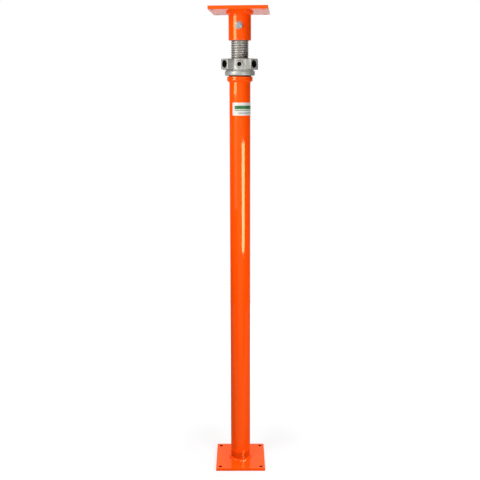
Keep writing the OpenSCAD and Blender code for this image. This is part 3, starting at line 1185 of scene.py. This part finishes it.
nut_body = fuse("nut body", body_shapes, NUT_VOXEL, BODY_MELT)
nut_cast = fuse("nut cast", [cut(nut_body, holes, "nut holes")], NUT_VOXEL, HOLE_MELT)
bore = rod("nut bore", NUT_BORE_R, 2 * NUT_H, Matrix.Translation((0, 0, -NUT_H / 2)), 128)
nut_mesh = cut(nut_cast, [bore], "nut bore")
store_painted_shade(nut_mesh, nut_hole_shade)
nut_mesh.transform(Matrix.Translation((0, 0, low_z("adjusting_nut")))
                   @ Matrix.Rotation(NUT_TURN, 4, "Z"))
add_piece("adjusting nut", nut_mesh, CASTING, "nut", "adjusting_nut", sharp=60)

# %% [markdown]
# A bolt's head is a hexagon whose top corners are turned off at 30 degrees. On a grid of
# angles and radii the height of the top is a simple rule: flat inside the chamfer circle
# and falling outside it, so the curved chamfer lines on the flats come by themselves.

# %% Hexagons
HEX_FLATS = 14.3 * MM
CHAMFER_CIRCLE = 0.93
CHAMFER = math.radians(30)
ALMOST_CLOSED = 0.02


def hexagon_radius(a, flats):
    fold = (a + math.pi / 6) % (math.pi / 3) - math.pi / 6
    return flats / 2 / math.cos(fold)


def hex_block(name, flats, height, bore_r, both_ends, transform):
    """A hexagonal head or nut from 0 to height along Z, chamfered on top or at both ends."""
    segments = 96
    flat_r = flats / 2 * CHAMFER_CIRCLE
    build = bmesh.new()
    columns = []
    for k in range(segments):
        a = 2 * math.pi * k / segments
        edge_r = hexagon_radius(a, flats)
        drop = (edge_r - flat_r) * math.tan(CHAMFER)
        foot = drop if both_ends else 0.0
        inner = bore_r if bore_r > 0 else ALMOST_CLOSED * flat_r
        outline = [(inner, 0.0), (flat_r, 0.0), (edge_r, foot), (edge_r, height - drop),
                   (flat_r, height), (inner, height)]
        columns.append([build.verts.new((r * math.cos(a), r * math.sin(a), z))
                        for r, z in outline])
    for k in range(segments):
        here, there = columns[k], columns[(k + 1) % segments]
        for i in range(len(here) - 1):
            build.faces.new((here[i], there[i], there[i + 1], here[i + 1]))
        if bore_r > 0:
            build.faces.new((here[-1], there[-1], there[0], here[0]))
    if bore_r <= 0:
        build.faces.new([column[0] for column in columns])
        build.faces.new([column[-1] for column in columns])
    bmesh.ops.recalc_face_normals(build, faces=build.faces)
    return finish_mesh(name, build, transform)


print("hexagon:", round(HEX_FLATS / MM, 1), "mm over the flats,",
      round(2 * hexagon_radius(math.pi / 6, HEX_FLATS) / MM, 1), "mm over the corners")

# %% [markdown]
# One bolt goes through the socket and the screw and joins them. It has a washer under its
# head and one under the lock nut behind, and its shank carries a fine helical thread made
# by the same function as the screw's.

# %% Bolt, washers and lock nut
BOLT_R = 4.75 * MM
BOLT_PITCH = 1.5875 * MM
BOLT_THREAD = 0.6 * MM
BOLT_WASHER_T = 1.6 * MM
BOLT_WASHER_R = 10.3 * MM
BOLT_WASHER_EDGE = 0.4 * MM
HEAD_H = 6.0 * MM
NUT_HEIGHT = 8.3 * MM
TAIL = 3.0 * MM
seat = SOCKET_R + BOLT_WASHER_T


def on_bolt(height):
    return BOLT_FRAME @ Matrix.Translation((0, 0, height))


bolt_head = hex_block("bolt head", HEX_FLATS, HEAD_H, bore_r=0.0, both_ends=False,
                      transform=on_bolt(seat))
shank = threaded_rod("bolt shank", BOLT_R, 0.0, BOLT_THREAD, BOLT_PITCH,
                     -seat - NUT_HEIGHT - TAIL, seat, segments=32, rows_per_turn=6,
                     chamfer=0.7 * MM, transform=BOLT_FRAME)
add_piece("cross bolt", joined("cross bolt", [bolt_head, shank]), ZINC, "head", "cross_bolt",
          sharp=25)
washers = [turned("bolt washer", tube_outline(BOLT_WASHER_R, BOLT_HOLE_R, z, z + BOLT_WASHER_T,
                                              BOLT_WASHER_EDGE), 64, BOLT_FRAME)
           for z in (SOCKET_R, -SOCKET_R - BOLT_WASHER_T)]
add_piece("bolt washers", joined("bolt washers", washers), ZINC, "head", "bolt_washers",
          sharp=50)
lock_nut = hex_block("lock nut", HEX_FLATS, NUT_HEIGHT, bore_r=BOLT_R + SEAT, both_ends=True,
                     transform=on_bolt(-seat - NUT_HEIGHT))
add_piece("lock nut", lock_nut, ZINC, "head", "lock_nut", sharp=25)

# %% [markdown]
# The stop pin crosses the screw's lower end inside the tube, where only an X-ray would
# find it. It still gets its chamfered ends.

# %% Stop pin
PIN_Z = mid_z("stop_pin")
PIN_R = size_of("stop_pin").z / 2
PIN_ROOM = 0.5 * MM
PIN_HALF = POST_R - POST_WALL - PIN_ROOM
PIN_FRAME = (Matrix.Rotation(HEAD_TURN, 4, "Z") @ Matrix.Translation((0, 0, PIN_Z))
             @ Matrix.Rotation(math.radians(90), 4, "Y"))
PIN_ROUND = 0.8 * MM
pin_corners = [(ON_AXIS, -PIN_HALF, 0), (PIN_R, -PIN_HALF, PIN_ROUND),
               (PIN_R, PIN_HALF, PIN_ROUND), (ON_AXIS, PIN_HALF, 0)]
add_piece("stop pin", turned("stop pin", pin_corners, 48, PIN_FRAME),
          ZINC, "head", "stop_pin")

# %% [markdown]
# The label is a thin film wrapped round the tube. Its print is plain: a wide and a thin
# green bar, and a grey rule. A bar is the product of two bands, one across the film and
# one up it, both read from UV coordinates, so that the print bends with the film.

# %% Label film
PRINT_SOFT = 0.004
PRINT_GREEN = (0.015, 0.12, 0.03)
PRINT_GREY = (0.06, 0.06, 0.06)
FILM = (0.6, 0.595, 0.55)
AGED_FILM = (0.55, 0.55, 0.505)


def band(tree, value, low, high):
    """1 between low and high, 0 outside."""
    return maths(tree, "MULTIPLY", ramp(tree, value, low - PRINT_SOFT, low + PRINT_SOFT),
                 ramp(tree, value, high + PRINT_SOFT, high - PRINT_SOFT))


def make_label_film():
    film, surface = new_finish("label film", Coat_Weight=0.4, Coat_Roughness=0.15)
    tree = film.node_tree
    plane = tree.nodes.new("ShaderNodeUVMap")
    plane.uv_map = "label"
    across, up, _ = axes_of(tree, plane.outputs["UV"])
    age = place_effect(film, GRAIN, "Mask", Scale=80.0, Detail=4.0)
    colour = colour_mix(film, age, 1.0, FILM, AGED_FILM)
    for low, high, left, right, ink in ((0.5, 0.76, 0.08, 0.92, PRINT_GREEN),
                                        (0.38, 0.43, 0.08, 0.92, PRINT_GREEN),
                                        (0.17, 0.22, 0.2, 0.8, PRINT_GREY)):
        bar = maths(tree, "MULTIPLY", band(tree, up, low, high),
                    band(tree, across, left, right))
        colour = colour_mix(film, bar, 1.0, colour, ink)
    wire(film, colour, surface, "Base Color")
    wire(film, number_mix(film, age, 0.4, 0.55), surface, "Roughness")
    weave = place_effect(film, GRAIN, "Mask", Scale=1800.0, Detail=2.0)
    wire(film, bumps(film, weave, 0.01 * MM), surface, "Normal")
    return film


LABEL_FILM = make_label_film()
print("made", LABEL_FILM.name)

# %% [markdown]
# The film's mesh is a grid bent round the tube, with rounded corners and a real thickness.
# Each corner of each face carries its place on the film as UV coordinates, which the print
# reads.

# %% Label
LABEL_W = 89 * MM
LABEL_T = 0.3 * MM
LABEL_START = math.radians(-133)
LABEL_CORNER = 1.5 * MM


def label_mesh(name, low, high):
    columns = 72
    rows = 12
    height = high - low
    build = bmesh.new()
    uv_layer = build.loops.layers.uv.new("label")
    sides = []
    for r in (POST_R + SEAT, POST_R + SEAT + LABEL_T):
        side = []
        for i in range(columns + 1):
            u = i / columns
            a = LABEL_START + u * LABEL_W / POST_R
            end_gap = min(u, 1 - u) * LABEL_W
            shy = max(0.0, LABEL_CORNER - end_gap)
            trim = LABEL_CORNER - math.sqrt(max(0.0, LABEL_CORNER ** 2 - shy ** 2))
            side.append([build.verts.new((r * math.cos(a), r * math.sin(a),
                                          low + trim + (height - 2 * trim) * j / rows))
                         for j in range(rows + 1)])
        sides.append(side)
    inner, outer = sides

    def quad(corners, places):
        face = build.faces.new(corners)
        for loop, (i, j) in zip(face.loops, places):
            loop[uv_layer].uv = (i / columns, j / rows)

    for i in range(columns):
        for j in range(rows):
            places = [(i, j), (i + 1, j), (i + 1, j + 1), (i, j + 1)]
            quad([outer[x][y] for x, y in places], places)
            quad([inner[x][y] for x, y in reversed(places)], list(reversed(places)))
    for i in range(columns):
        for j in (0, rows):
            places = [(i, j), (i + 1, j)]
            quad([inner[i][j], inner[i + 1][j], outer[i + 1][j], outer[i][j]],
                 [places[0], places[1], places[1], places[0]])
    for j in range(rows):
        for i in (0, columns):
            places = [(i, j), (i, j + 1)]
            quad([inner[i][j], inner[i][j + 1], outer[i][j + 1], outer[i][j]],
                 [places[0], places[1], places[1], places[0]])
    bmesh.ops.recalc_face_normals(build, faces=build.faces)
    return finish_mesh(name, build)


add_piece("label", label_mesh("label", low_z("label"), high_z("label")), LABEL_FILM,
          "post", "label")
